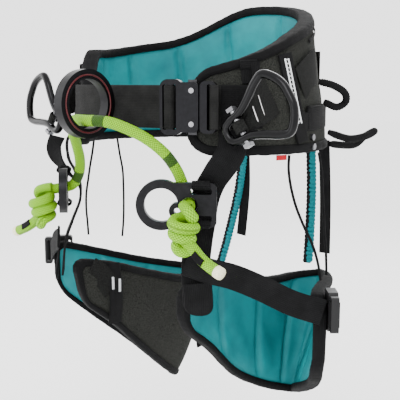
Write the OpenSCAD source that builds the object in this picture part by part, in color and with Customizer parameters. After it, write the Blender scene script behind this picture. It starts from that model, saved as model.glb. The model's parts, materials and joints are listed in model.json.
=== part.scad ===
// Tree climbing saddle. X is the wearer's left, -Y the front, Z up.
// The origin is the middle of the waist loop, at the height of the waist webbing.

/* [Waist belt] */
// Half the width of the waist loop
waist_half_w = 156; // [145:1:175]
// Distance from the waist axis to the front of the loop
waist_front = 117; // [110:1:130]
// Distance from the waist axis to the back of the loop
waist_back = 150; // [140:1:165]
// Height of the belt above the webbing at its front ends
front_rise = 30; // [28:1:40]
// Height of the belt above the webbing where its right side levels out, near the front
right_rise = 66; // [60:1:74]
// Climb of the belt's edge along that right side
right_climb = 14; // [8:1:20]
// Height of the belt above the webbing at the middle of the back
back_rise = 121; // [100:1:135]
// Depth of the belt below the webbing
belt_drop = 50; // [45:1:60]
// Lean of the belt towards the waist, per millimetre of height
belt_lean = 0.13; // [0.05:0.01:0.18]
// Thickness of the outer shell
shell_t = 4; // [3:0.5:6]
// Thickness of the foam pad
pad_t = 12; // [8:1:14]
// Width of the edge binding
binding_w = 10; // [8:1:12]
// Radius of the corners at the belt's front ends
belt_corner = 30; // [24:1:36]
// Angle from the front to the belt's left end
left_end = 32; // [30:1:36]
// Angle from the front to the belt's right end
right_end = 32; // [30:1:36]

/* [Webbing] */
// Width of the waist webbing
web_w = 45; // [40:1:48]
// Thickness of all webbing
web_t = 2.5; // [1.5:0.5:3]
// Width of the leg webbing
leg_web_w = 27; // [24:1:32]
// Width of the webbing that carries the forgings
ventral_web_w = 30; // [26:1:34]

/* [Leg loops] */
// Thickness of a leg pad's foam
leg_foam_t = 8; // [6:0.5:10]
// Thickness of a leg pad's cover
leg_shell_t = 3; // [2:0.5:4]
// Width of a leg pad's edge binding
leg_binding_w = 9; // [7:1:11]

/* [Metal parts] */
// Diameter of the side rings' bar
d_wire = 9; // [8:0.5:10]
// Half the width of the side rings' wide end, to the middle of the bar
d_half_w = 33; // [31:1:36]
// Half the width of the side rings' neck, to the middle of the bar
d_neck = 12.5; // [12:0.5:14]
// Distance from the pivot to the middle of the bar at the wide end
d_reach = 63; // [61:1:67]
// Diameter of the side rings' pivot pin
d_pin = 6; // [5:0.5:7]
// Inside diameter of the bridge ring
ring_inner = 52; // [48:1:58]
// Outside diameter of the bridge ring
ring_outer = 72; // [68:1:76]
// Thickness of the bridge ring
ring_thick = 12; // [10:0.5:14]
// Thickness of the ventral forgings
forging_t = 9; // [8:0.5:10]
// Inside diameter of the forgings' wide eye
eye_inner = 35; // [30:1:38]
// Outside diameter of the forgings' wide eye
eye_outer = 52; // [50:1:56]
// Diameter of the forgings' rope hole
rope_hole = 17; // [16.5:0.5:18]
// Diameter of the forgings' small hole
small_hole = 6.5; // [5:0.5:7]

/* [Rope] */
// Diameter of the bridge rope
rope_d = 12; // [10:0.5:12.5]
// Diameter of the thin elastic cords
cord_d = 3; // [2.5:0.1:3.4]
// Diameter of the gear loops' tube
gear_d = 8; // [7:0.5:9]

/* [Hidden] */
gap = 0.4;
running = 0.15;
$fn = 48;

band_out = gap + web_t + 0.2;
buckle_place = [92, -107, 0];
buckle_turn = 26;
clip_x = 6;
clip_z = 17;
rivet_d = 3;
d_place = [149, -91.5, -19];
d_turn = [-2, -32, 8];
d_side = [[-17, 0], [-14.5, 8], [-7, d_neck - 1], [3, d_neck], [12, d_neck + 3], [24, d_half_w - 11],
    [36, d_half_w - 4], [47, d_half_w - 1], [d_reach - 7, d_half_w - 9], [d_reach - 1, 12], [d_reach, 0]];
d_span = d_neck + d_wire / 2 + 1.2;
flap_half = 6.6;
flap_near = [[145, -81.5, -12], [153.5, -81, -25]];
forging_place = [80, -134, -99];
forging_turn = 40;
forging_h = 23;
slot_x = 41;
slot_z = 14;
rope_x = 29;
loop_gap = 7.2;
ring_place = [0, -165, 3];
ring_rope = [0, -165, ring_place.z - ring_inner / 2 + rope_d / 2 + 2.5];
knot_place = [114.5, -137.5, -120];
leg_buckle_place = [220, -28, -206];
leg_buckle_turn = 132;
leg_crown = 5;
leg_gap = 2;

// Routes, as points on the wearer's left.
front_route = [[79, -104, 0], [69, -108.5, 0], [58, -113, 0], [30, -120, 0], [0, -123, 0],
    [-35, -120, 0], [-65, -112, 0], [-88, -102, 0], [-97, -97, 0]];
rope_route = [[112, -127, -101], [102, -115, -99], [93.5, -108, -95], [84.5, -106, -81], [78, -110, -64],
    [70, -121, -46], [55, -138, -29], [30, -157, -16]];
tail_route = [[126, -137.5, -136], [139, -139, -146], [152, -140, -152], [166, -140, -157]];
web_route = [[127.5, -75, -24], [131.5, -85, -46], [121, -92, -66], [109, -92, -82], [101, -91, -99],
    [100, -94, -118], [103, -103, -140], [107, -111, -165], [111, -113, -205]];
leg_top_right = [[92, -116, -184], [79, -60, -196], [75, 0, -216], [74, 60, -234], [76, 112, -240],
    [100, 138, -238], [130, 108, -232], [158, 60, -220], [186, 6, -203], [206, -30, -192], [217, -44, -190]];
leg_bottom_right = [[85, -108, -240], [78, -62, -276], [78, -15, -320], [84, 30, -358], [92, 60, -380],
    [106, 70, -382], [130, 48, -358], [156, 24, -330], [182, 0, -304], [203, -26, -276], [216, -46, -252]];
leg_top_left = [[92, -116, -184], [79, -60, -188], [75, 0, -200], [74, 60, -211], [76, 112, -214],
    [100, 138, -213], [130, 108, -209], [158, 60, -201], [186, 6, -193], [206, -30, -189], [217, -44, -190]];
leg_bottom_left = [[85, -108, -240], [78, -62, -272], [78, -15, -316], [84, 30, -342], [92, 60, -354],
    [106, 72, -356], [130, 50, -342], [156, 24, -326], [182, 0, -308], [203, -26, -289], [216, -46, -274]];
leg_strap_route = [[104, -124, -158], [122, -110, -166], [145, -95, -172], [171, -80, -183],
    [196, -64, -196], [222, -46, -205]];
upper_gear_route = [[160, 30, 26], [172, 40, 22], [178, 54, 14], [176, 60, 4], [168, 54, -2], [160, 42, 4]];
lower_gear_route = [[160, 52, -30], [172, 76, -38], [176, 108, -36], [172, 132, -32],
    [158, 136, -38], [156, 112, -48], [156, 62, -44]];
riser_left_route = [[74, 146, -56], [74, 148, -110], [74, 146, -170], [76, 140, -204]];
riser_right_route = [[38, 150, -56], [50, 152, -120], [66, 148, -190], [74, 140, -230]];
riser_tail_left_route = [[102, 134, -56], [102, 138, -120], [104, 136, -190]];
riser_tail_right_route = [[42, 159, -56], [46, 161, -120], [52, 160, -190]];
front_cord_route = [[158, -20, -51], [159, -22, -66], [163, -23, -84], [169, -22, -104],
    [177, -19, -124], [185, -13, -145], [189, -8, -165], [191, -5, -184]];
rear_cord_route = [[164, 27, -51], [165, 32, -73], [164, 36, -95], [165, 38, -118], [166, 39, -141],
    [168, 40, -165], [170, 39, -190]];

fabric = [0.25, 0.26, 0.25];
black = [0.1, 0.1, 0.11];
teal = [0.05, 0.62, 0.62];
lime = [0.7, 0.92, 0.05];
steel = [0.75, 0.75, 0.78];

// ---- helpers ----

function unit(v) = v / norm(v);
function flip(v) = [-v.x, v.y, v.z];

// A point on a smooth curve through the points p, at u from 0 to the last point's number.
function spline(p, u) = let (
    n = len(p) - 1, i = min(floor(u), n - 1), t = u - i,
    a = p[max(i - 1, 0)], b = p[i], c = p[i + 1], d = p[min(i + 2, n)])
    0.5 * ((2 * b) + (c - a) * t + (2 * a - 5 * b + 4 * c - d) * t * t
        + (3 * b - a - 3 * c + d) * t * t * t);
function resample(p, n) = [for (i = [0:n]) spline(p, i * (len(p) - 1) / n)];
function tangent(p, i) = unit(p[min(i + 1, len(p) - 1)] - p[max(i - 1, 0)]);

// A closed solid through rings of points that all run the same way round.
module skin(rings, closed = false) {
    n = len(rings[0]);
    m = len(rings);
    sides = [for (i = [0:closed ? m - 1 : m - 2], j = [0:n - 1])
        let (a = i * n + j, b = i * n + (j + 1) % n,
            c = ((i + 1) % m) * n + (j + 1) % n, d = ((i + 1) % m) * n + j)
        each [[a, b, c], [a, c, d]]];
    caps = closed ? [] : [
        for (j = [1:n - 2]) each [[0, j + 1, j], [(m - 1) * n, (m - 1) * n + j, (m - 1) * n + j + 1]]];
    polyhedron([for (ring = rings) each ring], concat(sides, caps), convexity = 8);
}

// A flat strap along the points p; wide is the direction across it.
module strap(p, wide, w, t) {
    skin([for (i = [0:len(p) - 1])
        let (along = tangent(p, i), thick = unit(cross(along, wide)), across = cross(thick, along))
        [p[i] - across * w / 2 - thick * t / 2, p[i] + across * w / 2 - thick * t / 2,
            p[i] + across * w / 2 + thick * t / 2, p[i] - across * w / 2 + thick * t / 2]]);
}

// A round cord along the points p; side is any direction that the cord never follows.
module tube(p, d, sides, side = [0, 0, 1]) {
    skin([for (i = [0:len(p) - 1])
        let (along = tangent(p, i), e1 = unit(cross(along, side)), e2 = cross(along, e1))
        [for (j = [0:sides - 1])
            p[i] + (e1 * cos(j * 360 / sides) + e2 * sin(j * 360 / sides)) * d / 2]]);
}

// Mirrors its children to the wearer's right when side is -1.
module on_side(side) {
    if (side > 0) children();
    else mirror([1, 0, 0]) children();
}

// ---- the waist belt ----

// Distance round the loop for each degree of angle.
function speed(p) = let (b = cos(p) > 0 ? waist_front : waist_back)
    norm([waist_half_w * cos(p), b * sin(p)]) * PI / 180;
// A point on the belt's wall: p degrees round from the front, z high, off outside the shell.
function wall(p, z, off) = let (
    b = cos(p) > 0 ? waist_front : waist_back,
    out = unit([sin(p) / waist_half_w, -cos(p) / b]), shift = off - belt_lean * z)
    [waist_half_w * sin(p) + out.x * shift, -b * cos(p) + out.y * shift, z];
// The edge climbs evenly on the left. On the right it climbs at both ends of a flatter stretch.
function rise(p) = p > 180
    ? front_rise + (right_rise - front_rise) * ease((360 - right_end - p) / 34)
        + right_climb * ease((285 - p) / 60)
        + (back_rise - right_rise - right_climb) * ease((240 - p) / 60)
    : front_rise + (back_rise - front_rise) * ease(p / 180);
function ease(x) = (1 - cos(180 * min(max(x, 0), 1))) / 2;
function end_steps() = [0, 0.04, 0.15, 0.32, 0.55, 0.8, 1];
// How far a rounded corner pulls an edge in, at the distance d from the end.
function corner(d, r) = d >= r ? 0 : r - sqrt(max(0, r * r - (r - d) * (r - d)));
// The angles of the columns that make up the belt, pulled in at both ends by inset.
function columns(inset) = let (
    p0 = left_end + inset / speed(left_end), p1 = 360 - right_end - inset / speed(right_end),
    r = belt_corner - inset, d0 = r / speed(p0), d1 = r / speed(p1))
    concat([for (s = end_steps()) p0 + s * d0],
        [for (i = [1:27]) p0 + d0 + (p1 - d1 - p0 - d0) * i / 28],
        [for (i = [6:-1:0]) p1 - end_steps()[i] * d1]);
function end_distance(p, inset) = min(
    (p - left_end) * speed(left_end), (360 - right_end - p) * speed(right_end)) - inset;
function edge_top(p, inset) = rise(p) - inset
    - corner(end_distance(p, inset), belt_corner - inset);
function edge_bottom(p, inset) = -belt_drop + inset
    + corner(end_distance(p, inset), belt_corner - inset);
function outline(inset) = let (c = columns(inset), n = len(c)) concat(
    [for (p = c) [p, edge_top(p, inset)]],
    [for (i = [n - 1:-1:0]) [c[i], edge_bottom(c[i], inset)]]);

module belt_panel(inset, off0, off1) {
    skin([for (p = columns(inset)) let (t = edge_top(p, inset), b = min(edge_bottom(p, inset), t - 1))
        [wall(p, t, off1), wall(p, b, off1), wall(p, b, off0), wall(p, t, off0)]]);
}

// A patch on the outside of the belt, between two heights at each of its ends.
module patch(p0, p1, low0, high0, low1, high1, off0, off1, steps = 6) {
    skin([for (i = [0:steps]) let (k = i / steps, p = p0 + (p1 - p0) * k,
            low = low0 + (low1 - low0) * k, high = high0 + (high1 - high0) * k)
        [wall(p, high, off1), wall(p, low, off1), wall(p, low, off0), wall(p, high, off0)]]);
}

module belt_shell() {
    color(fabric) belt_panel(binding_w + gap, -shell_t, 0);
}

module belt_pad() {
    color(teal) belt_panel(binding_w + gap, -shell_t - pad_t, -shell_t - gap);
}

module belt_binding() {
    outer = outline(0);
    inner = outline(binding_w);
    color(black) skin([for (i = [0:len(outer) - 1])
        [wall(outer[i][0], outer[i][1], 0), wall(outer[i][0], outer[i][1], -shell_t - pad_t),
            wall(inner[i][0], inner[i][1], -shell_t - pad_t), wall(inner[i][0], inner[i][1], 0)]],
        closed = true);
}

module side_webbing() {
    color(black) for (side = [1, -1]) on_side(side)
        patch(side_p0(side), 62, -web_w / 2, web_w / 2, -web_w / 2, web_w / 2, gap, gap + web_t);
}
function side_p0(side) = (side > 0 ? left_end : right_end) + 8;

module back_webbing() {
    color(black) patch(94, 266, -26, 0, -26, 0, gap, gap + web_t, 24);
}

// The upright bands over the hips, which lean back as they go down.
module hip_bands() {
    color(black) for (side = [1, -1]) on_side(side)
        skin([for (i = [0:5]) let (k = i / 5, p = 80 + 9 * k, z = 62 - 100 * k)
            [wall(p - 3.4, z, gap), wall(p + 3.4, z, gap),
                wall(p + 3.4, z, gap + web_t), wall(p - 3.4, z, gap + web_t)]]);
}

module hip_reflectors() {
    color(steel) for (side = [1, -1], shift = [-1.5, 1.5]) on_side(side)
        skin([for (i = [0:4]) let (k = i / 4, p = 81 + 6.5 * k + shift, z = 50 - 68 * k)
            [wall(p - 0.6, z, band_out), wall(p + 0.6, z, band_out),
                wall(p + 0.6, z, band_out + 0.8), wall(p - 0.6, z, band_out + 0.8)]]);
}

module hip_patches() {
    color(fabric) for (side = [1, -1]) on_side(side)
        patch(92, 109, -2, 42, 14, 68, gap, gap + 1.5);
}

// Press studs through the shell, two behind each hip.
module snap_studs() {
    color(steel) for (side = [1, -1], z = [-34, -44]) on_side(side)
        translate(wall(97, z, gap)) rotate([0, 90, wall_turn(97)]) cylinder(d = 7, h = 3);
}
function wall_turn(p) = let (b = cos(p) > 0 ? waist_front : waist_back)
    atan2(-cos(p) / b, sin(p) / waist_half_w);

module red_tag() {
    color("crimson") skin([for (p = [73, 76, 79])
        [wall(p, -belt_drop - gap, -4), wall(p, -belt_drop - gap, -2),
            wall(p, -belt_drop - 6, -2), wall(p, -belt_drop - 6, -4)]]);
}

// ---- gear loops ----

module gear_loop(route, side) {
    color(black) on_side(side) tube(resample(route, 12), gear_d, 10, [0.31, 0.12, 0.94]);
}
module gear_loop_upper_left() { gear_loop(upper_gear_route, 1); }
module gear_loop_upper_right() { gear_loop(upper_gear_route, -1); }
module gear_loop_lower_left() { gear_loop(lower_gear_route, 1); }
module gear_loop_lower_right() { gear_loop(lower_gear_route, -1); }

// ---- front strap and buckle ----

// Moves its children into the buckle: X along the strap, Y towards the wearer, Z up.
module at_buckle() {
    translate(buckle_place) rotate([0, 0, buckle_turn]) children();
}
// A rounded rectangle from x0 to x1 and from -h to h, with corners of radius r.
module plate(x0, x1, h, r) {
    translate([x0 + r, -h]) square([x1 - x0 - 2 * r, 2 * h]);
    translate([x0, r - h]) square([x1 - x0, 2 * h - 2 * r]);
    for (x = [x0 + r, x1 - r], y = [r - h, h - r]) translate([x, y]) circle(r);
}
// A flat outline drawn in X and Z, given thickness from y0 to y1.
module upright(y0, y1) {
    translate([0, y1, 0]) rotate([90, 0, 0]) linear_extrude(y1 - y0) children();
}

module front_strap() {
    color(fabric) strap(resample(front_route, 22), [0, 0, 1], web_w, web_t);
}

module buckle_body() {
    color(black) at_buckle() difference() {
        union() {
            upright(-4, 4) plate(-29, -4, web_w / 2 + 6, 9);
            upright(-6, 6) plate(-9, 13, web_w / 2 + 3, 5);
        }
        for (x = [-23.5, -13.5]) upright(-5, 5) plate(x - 2.3, x + 2.3, web_w / 2 + 0.6, 2);
        translate([-4, -3, -30]) cube([20, 6, 60]);
        for (z = [-clip_z, clip_z]) translate([clip_x, 7, z]) rotate([90, 0, 0])
            cylinder(d = rivet_d + running, h = 14);
    }
}

// The strap's fold round the bar of the buckle's body.
module body_wrap() {
    color(fabric) at_buckle() translate([-18.5, 0, -web_w / 2]) linear_extrude(web_w) difference() {
        plate(-5.1, 5.1, 6.6, 3);
        plate(-3.1, 3.1, 4.4, 1.5);
    }
}

module buckle_tongue() {
    color(black) at_buckle() {
        difference() {
            upright(-3.6, 3.6) plate(13.8, 31, web_w / 2 + 4, 6);
            upright(-5, 5) plate(21.5, 26, web_w / 2 + 0.8, 2);
        }
        upright(-2.5, 2.5) plate(-1, 16, 10, 2);
    }
}

module tongue_wrap() {
    color(fabric) at_buckle() translate([28.5, 0, -web_w / 2]) linear_extrude(web_w) difference() {
        plate(-5.2, 5.2, 6.2, 2.6);
        plate(-3.1, 3.1, 4, 1.5);
    }
}

module clip(side) {
    color(black) at_buckle() mirror([0, 0, side > 0 ? 0 : 1]) difference() {
        upright(-2.4, 2.4) {
            translate([clip_x, clip_z]) circle(4.6);
            translate([clip_x - 4.6, clip_z]) square([9.2, web_w / 2 + 5.5 - clip_z]);
        }
        translate([clip_x, 5, clip_z]) rotate([90, 0, 0]) cylinder(d = rivet_d + running, h = 10);
    }
}
module buckle_clip_upper() { clip(1); }
module buckle_clip_lower() { clip(-1); }

module buckle_rivets() {
    color(steel) at_buckle() for (z = [-clip_z, clip_z]) {
        translate([clip_x, 6, z]) rotate([90, 0, 0]) cylinder(d = rivet_d, h = 12);
        translate([clip_x, -6.3, z]) rotate([90, 0, 0]) cylinder(d = 5.5, h = 1.2);
    }
}

// ---- side rings ----

// Moves its children into a side ring: X away from the pivot, Z along the pivot pin.
module at_d(side) {
    on_side(side) translate(d_place) rotate(d_turn) children();
}
// The middle line of a side ring's bar, once round.
function d_line() = let (
    n = len(d_side) - 1, loop = concat(d_side, [for (i = [n - 1:-1:1]) [d_side[i].x, -d_side[i].y]]),
    m = len(loop), open = [for (i = [0:m + 2]) loop[(i + m - 1) % m]])
    [for (i = [0:2 * m - 1]) let (q = spline(open, 1 + i / 2)) [q.x, 0, q.y]];

module side_d(side) {
    line = d_line();
    n = len(line);
    color(black) at_d(side) difference() {
        skin([for (i = [0:n - 1])
            let (along = unit(line[(i + 1) % n] - line[(i + n - 1) % n]), out = cross([0, 1, 0], along))
            [for (j = [0:9]) line[i] + (out * cos(36 * j) + [0, 1, 0] * sin(36 * j)) * d_wire / 2]],
            closed = true);
        translate([0, 0, -40]) cylinder(d = d_pin + running, h = 80);
    }
}
module side_d_left() { side_d(1); }
module side_d_right() { side_d(-1); }

// The screw shaft with a square head at each end.
module d_shaft(side) {
    color(steel) at_d(side) {
        translate([0, 0, -d_span]) cylinder(d = d_pin, h = 2 * d_span);
        for (s = [-1, 1]) translate([0, 0, s * (d_span + 2)]) cube([8, 8, 4], center = true);
    }
}
module d_pin_left() { d_shaft(1); }
module d_pin_right() { d_shaft(-1); }

// The sleeve round the pin and the flap that joins it to the belt.
module d_flap(side) {
    color(fabric) {
        at_d(side) difference() {
            translate([0, 0, -flap_half]) cylinder(d = d_pin + 6, h = 2 * flap_half);
            translate([0, 0, -40]) cylinder(d = d_pin + 0.6, h = 80);
        }
        on_side(side) skin([for (i = [0:3]) let (k = i / 3,
                top = flap_near[0] + (wall(67, 38, 1.2) - flap_near[0]) * k,
                low = flap_near[1] + (wall(73, -10, 1.2) - flap_near[1]) * k,
                out = unit(cross(top - low, wall(67, 38, 0) - flap_near[0])) * 1.5,
                bulge = [0.6, -0.8, 0] * 9 * sin(180 * k))
            [top + out + bulge, low + out + bulge, low - out + bulge, top - out + bulge]]);
    }
}
module d_flap_left() { d_flap(1); }
module d_flap_right() { d_flap(-1); }

// Webbing keepers that hang in front of the hips, above the side rings.
module hip_keepers() {
    color(black) for (side = [1, -1]) on_side(side)
        patch(56, 63, 24, 48, 24, 50, gap, gap + 5, 3);
}

// ---- webbing to the leg loops, and the ventral forgings ----

// Moves its children onto a forging: X across it, Z up, -Y its front.
module at_forging(side) {
    on_side(side) translate(forging_place) rotate([0, 0, forging_turn]) children();
}

module ventral_web(side) {
    color(black) on_side(side)
        strap(resample(web_route, 20), [cos(forging_turn), sin(forging_turn), 0], ventral_web_w, web_t);
}
module ventral_web_left() { ventral_web(1); }
module ventral_web_right() { ventral_web(-1); }

module ventral_ring(side) {
    color(black) at_forging(side) difference() {
        upright(-forging_t / 2, forging_t / 2) {
            difference() {
                union() {
                    circle(d = eye_outer);
                    plate(8, 57, forging_h, 6);
                }
                circle(d = eye_inner);
            }
            translate([16.5, -6]) circle(8.5);
        }
        translate([16.5, 10, -6]) rotate([90, 0, 0]) cylinder(d = small_hole, h = 20);
        translate([rope_x, 10, 0]) rotate([90, 0, 0]) cylinder(d = rope_hole, h = 20);
        for (s = [-1, 1]) upright(-10, 10) translate([0, s * slot_z])
            plate(slot_x - 11, slot_x + 11, 3, 2);
    }
}
module ventral_ring_left() { ventral_ring(1); }
module ventral_ring_right() { ventral_ring(-1); }

// Webbing folds through the forging's two slots.
module web_loops(side) {
    bar_mid = (slot_z + 3 + forging_h) / 2;
    color(black) at_forging(side) for (s = [-1, 1])
        translate([slot_x - 9.5, 0, s * bar_mid]) rotate([90, 0, 90]) linear_extrude(19)
            difference() {
                plate(-loop_gap - 1.5, loop_gap + 1.5, 4.9, 3);
                plate(-loop_gap, loop_gap, 3.6, 2.4);
            }
}
module web_loops_left() { web_loops(1); }
module web_loops_right() { web_loops(-1); }

// ---- bridge ----

module bridge_ring() {
    color(black) translate(ring_place) rotate([0, 90, 0]) difference() {
        rotate_extrude($fn = 96) translate([ring_inner / 2, -ring_thick / 2])
            square([(ring_outer - ring_inner) / 2, ring_thick]);
        for (s = [-1, 1]) translate([0, 0, s * ring_thick / 2]) rotate_extrude($fn = 96)
            translate([ring_inner / 2 + 4, 0]) circle(1.2, $fn = 16);
    }
}

// A thin coloured band in the groove on each face of the bridge ring.
module ring_bands() {
    color("darkred") translate(ring_place) rotate([0, 90, 0]) for (s = [-1, 1])
        translate([0, 0, s * (ring_thick / 2 - 0.2)]) rotate_extrude($fn = 96)
            translate([ring_inner / 2 + 4, 0]) circle(0.8, $fn = 16);
}

module bridge_rope() {
    color(lime) tube(resample(concat([for (p = rope_route) flip(p)], [ring_rope],
        [for (i = [len(rope_route) - 1:-1:0]) rope_route[i]]), 26), rope_d, 10, [0, 0.6, 0.8]);
}

module knot(side) {
    color(lime) on_side(side) translate(knot_place) rotate([8, 0, forging_turn]) {
        translate([0, 0, 11]) rotate_extrude() translate([9, 0]) circle(d = rope_d);
        rotate_extrude() translate([11, 0]) circle(d = rope_d);
        translate([0, 0, -13]) rotate([90, 0, 0]) rotate_extrude() translate([7, 0]) circle(d = rope_d);
    }
}
module knot_left() { knot(1); }
module knot_right() { knot(-1); }

module rope_tail(side) {
    color(lime) on_side(side) tube(resample(tail_route, 5), rope_d, 10);
}
module rope_tail_left() { rope_tail(1); }
module rope_tail_right() { rope_tail(-1); }

// ---- leg loops ----

// A point on a leg pad, drawn on the wearer's left. t goes round from the inside front to
// the outside front, v from the top edge to the bottom edge, off outwards from the middle.
function leg_top(side, t) = let (e = side > 0 ? leg_top_left : leg_top_right)
    spline(e, t * (len(e) - 1));
function leg_bottom(side, t) = let (e = side > 0 ? leg_bottom_left : leg_bottom_right)
    spline(e, t * (len(e) - 1));
function leg_point(side, t, v, off) = let (
    a = leg_top(side, t), b = leg_bottom(side, t),
    along = leg_top(side, min(t + 0.01, 1)) - leg_top(side, max(t - 0.01, 0)),
    out = unit(cross(along, b - a)))
    a + (b - a) * v + out * (off + leg_crown * sin(180 * v));
function leg_height(side, t) = norm(leg_top(side, t) - leg_bottom(side, t));
function leg_steps() = [for (i = [0:26]) i / 26];

module leg_panel(side, off1, off0) {
    color(off1 > 0 ? fabric : teal) on_side(side)
        skin([for (s = leg_steps())
            let (t = 0.03 + 0.94 * s, v = (leg_binding_w + leg_gap) / leg_height(side, t))
            [leg_point(side, t, v, off1), leg_point(side, t, 1 - v, off1),
                leg_point(side, t, 1 - v, off0), leg_point(side, t, v, off0)]]);
}
module leg_shell_left() { leg_panel(1, leg_shell_t, leg_gap / 2); }
module leg_shell_right() { leg_panel(-1, leg_shell_t, leg_gap / 2); }
module leg_foam_left() { leg_panel(1, -leg_gap / 2, -leg_foam_t); }
module leg_foam_right() { leg_panel(-1, -leg_gap / 2, -leg_foam_t); }

module leg_binding(side) {
    ts = leg_steps();
    loop = concat([for (t = ts) [t, 0]], [for (i = [len(ts) - 1:-1:0]) [ts[i], 1]]);
    color(black) on_side(side) skin([for (q = loop)
        let (t = q[0], k = leg_binding_w / leg_height(side, t),
            e = 0.025 + 0.95 * t - 0.006 * sign(0.5 - t), v0 = q[1], v1 = q[1] > 0.5 ? 1 - k : k)
        [leg_point(side, t, v0, leg_shell_t), leg_point(side, t, v0, -leg_foam_t),
            leg_point(side, e, v1, -leg_foam_t), leg_point(side, e, v1, leg_shell_t)]], closed = true);
}
module leg_binding_left() { leg_binding(1); }
module leg_binding_right() { leg_binding(-1); }

module leg_strap(side) {
    color(black) on_side(side)
        strap(resample(leg_strap_route, 16), [0, 0, 1], leg_web_w, web_t);
}
module leg_strap_left() { leg_strap(1); }
module leg_strap_right() { leg_strap(-1); }

// Moves its children into a leg buckle: X towards the back, -Y outwards, Z up.
module at_leg_buckle(side) {
    on_side(side) translate(leg_buckle_place) rotate([0, 0, leg_buckle_turn]) children();
}
module leg_buckle(side) {
    color(black) at_leg_buckle(side) difference() {
        upright(-5, 5) plate(-12, 14, leg_web_w / 2 + 7, 4);
        translate([-20, -2.8, -leg_web_w / 2 - 1]) cube([26, 5.6, leg_web_w + 2]);
        upright(-6, 6) plate(8.5, 11.5, leg_web_w / 2 + 1, 1);
    }
}
module leg_buckle_left() { leg_buckle(1); }
module leg_buckle_right() { leg_buckle(-1); }

module leg_tongue(side) {
    color(black) at_leg_buckle(side) difference() {
        union() {
            upright(-2.4, 2.4) plate(-18, 4, leg_web_w / 2, 2);
            upright(-4, 4) plate(-24, -13.5, leg_web_w / 2 + 5, 3);
        }
        upright(-6, 6) plate(-20.5, -17.5, leg_web_w / 2 + 1, 1);
    }
}
module leg_tongue_left() { leg_tongue(1); }
module leg_tongue_right() { leg_tongue(-1); }

module leg_reflectors() {
    color(steel) for (side = [1, -1], t = [0.1, 0.135]) on_side(side)
        skin([for (v = [0.22, 0.33, 0.44])
            [leg_point(side, t, v, leg_shell_t + gap), leg_point(side, t + 0.015, v, leg_shell_t + gap),
                leg_point(side, t + 0.015, v, leg_shell_t + 1.2), leg_point(side, t, v, leg_shell_t + 1.2)]]);
}

// ---- risers and thin cords ----

module elastic_risers() {
    color(teal) for (side = [1, -1]) on_side(side) {
        strap(resample(side > 0 ? riser_left_route : riser_right_route, 8), [1, 0, 0], 14, 5);
        strap(resample(side > 0 ? riser_tail_left_route : riser_tail_right_route, 6), [1, 0, 0], 16, 2);
    }
}

module thin_cord(route, side) {
    color(black) on_side(side) tube(resample(route, 8), cord_d, 8, [1, 0, 0]);
}
module cord_front_left() { thin_cord(front_cord_route, 1); }
module cord_front_right() { thin_cord(front_cord_route, -1); }
module cord_rear_left() { thin_cord(rear_cord_route, 1); }
module cord_rear_right() { thin_cord(rear_cord_route, -1); }

belt_shell();
belt_pad();
belt_binding();
side_webbing();
back_webbing();
hip_bands();
hip_patches();
hip_reflectors();
snap_studs();
red_tag();
gear_loop_upper_left();
gear_loop_upper_right();
gear_loop_lower_left();
gear_loop_lower_right();
front_strap();
tongue_wrap();
body_wrap();
buckle_tongue();
buckle_body();
buckle_clip_upper();
buckle_clip_lower();
buckle_rivets();
side_d_left();
side_d_right();
d_pin_left();
d_pin_right();
d_flap_left();
d_flap_right();
hip_keepers();
ventral_web_left();
ventral_web_right();
web_loops_left();
web_loops_right();
ventral_ring_left();
ventral_ring_right();
bridge_ring();
ring_bands();
bridge_rope();
knot_left();
knot_right();
rope_tail_left();
rope_tail_right();
leg_shell_left();
leg_shell_right();
leg_foam_left();
leg_foam_right();
leg_binding_left();
leg_binding_right();
leg_strap_left();
leg_strap_right();
leg_buckle_left();
leg_buckle_right();
leg_tongue_left();
leg_tongue_right();
leg_reflectors();
elastic_risers();
cord_front_left();
cord_front_right();
cord_rear_left();
cord_rear_right();
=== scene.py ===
import bpy
import json
import math
from mathutils import Matrix, Vector

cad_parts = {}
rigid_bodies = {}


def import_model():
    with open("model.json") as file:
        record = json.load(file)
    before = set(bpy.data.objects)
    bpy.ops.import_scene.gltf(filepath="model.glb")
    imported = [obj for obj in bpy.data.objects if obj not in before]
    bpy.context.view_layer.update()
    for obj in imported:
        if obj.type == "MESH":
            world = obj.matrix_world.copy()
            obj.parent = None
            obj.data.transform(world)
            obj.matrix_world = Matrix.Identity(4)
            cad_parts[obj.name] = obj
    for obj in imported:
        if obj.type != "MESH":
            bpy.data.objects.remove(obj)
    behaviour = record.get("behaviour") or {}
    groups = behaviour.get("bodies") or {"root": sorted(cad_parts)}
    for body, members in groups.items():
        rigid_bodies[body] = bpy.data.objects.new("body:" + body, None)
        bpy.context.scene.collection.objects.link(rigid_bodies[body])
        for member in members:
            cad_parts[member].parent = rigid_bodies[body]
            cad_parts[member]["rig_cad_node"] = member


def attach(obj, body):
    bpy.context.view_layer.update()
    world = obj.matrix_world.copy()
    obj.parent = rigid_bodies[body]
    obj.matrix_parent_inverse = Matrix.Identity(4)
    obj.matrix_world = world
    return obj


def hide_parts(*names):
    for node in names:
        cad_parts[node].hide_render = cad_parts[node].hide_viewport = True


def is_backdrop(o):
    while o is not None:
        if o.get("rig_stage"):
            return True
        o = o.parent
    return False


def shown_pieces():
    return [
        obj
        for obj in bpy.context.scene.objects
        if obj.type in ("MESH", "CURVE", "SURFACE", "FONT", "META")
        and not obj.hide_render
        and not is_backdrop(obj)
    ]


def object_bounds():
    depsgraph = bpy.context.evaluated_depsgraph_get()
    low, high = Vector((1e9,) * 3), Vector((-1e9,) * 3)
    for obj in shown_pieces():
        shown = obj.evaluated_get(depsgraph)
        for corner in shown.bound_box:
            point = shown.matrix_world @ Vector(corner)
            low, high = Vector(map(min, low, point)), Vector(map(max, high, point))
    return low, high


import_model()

startBox = [list(c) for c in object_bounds()]
mm = 0.001

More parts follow.
